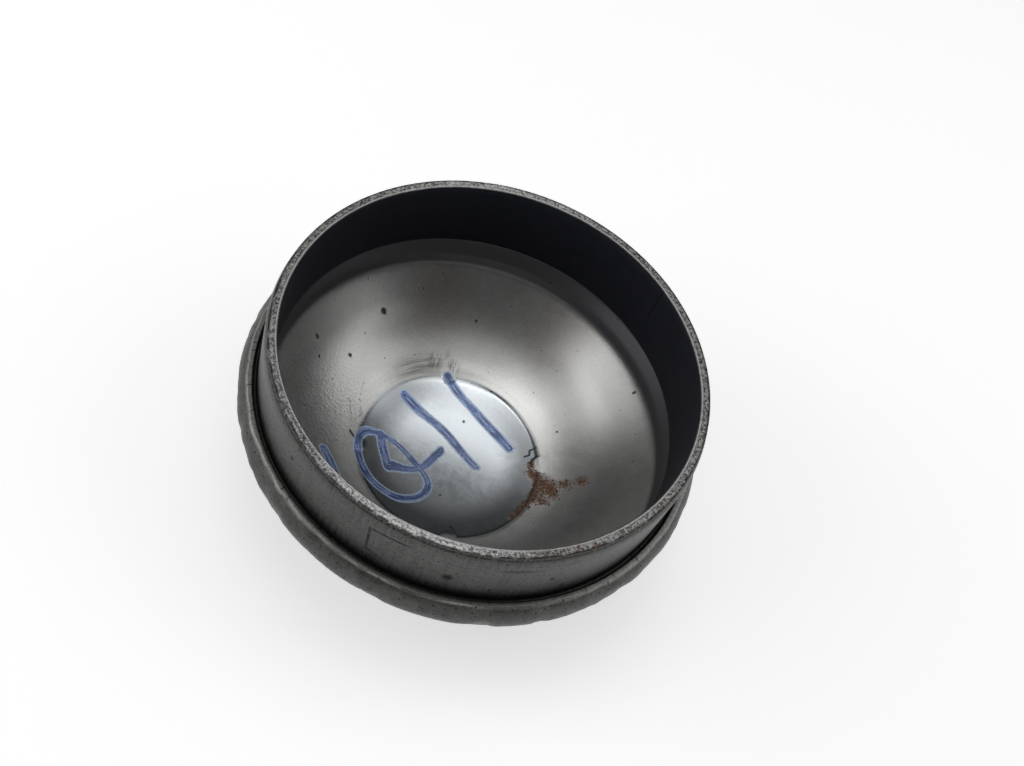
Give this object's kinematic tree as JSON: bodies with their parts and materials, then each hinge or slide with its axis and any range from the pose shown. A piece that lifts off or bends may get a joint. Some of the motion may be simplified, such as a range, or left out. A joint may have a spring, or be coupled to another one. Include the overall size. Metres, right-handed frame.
{
  "type": "hub grease cap",
  "caption": "Round pressed steel grease cap with a press-in skirt, a flange bead, a domed crown and a flat recessed centre pad.",
  "frame": {"origin": "middle of the pad's underside, the plane that the cap stands on with its mouth up", "axes": "+Z along the cap's axis towards the open mouth, +X and +Y across it; the first lug is 20 degrees from +X"},
  "size_m": [0.0674, 0.0674, 0.0312],
  "materials": {
    "steel": "satin"
  },
  "bodies": {
    "root": {"cap": "steel"}
  },
  "joints": []
}
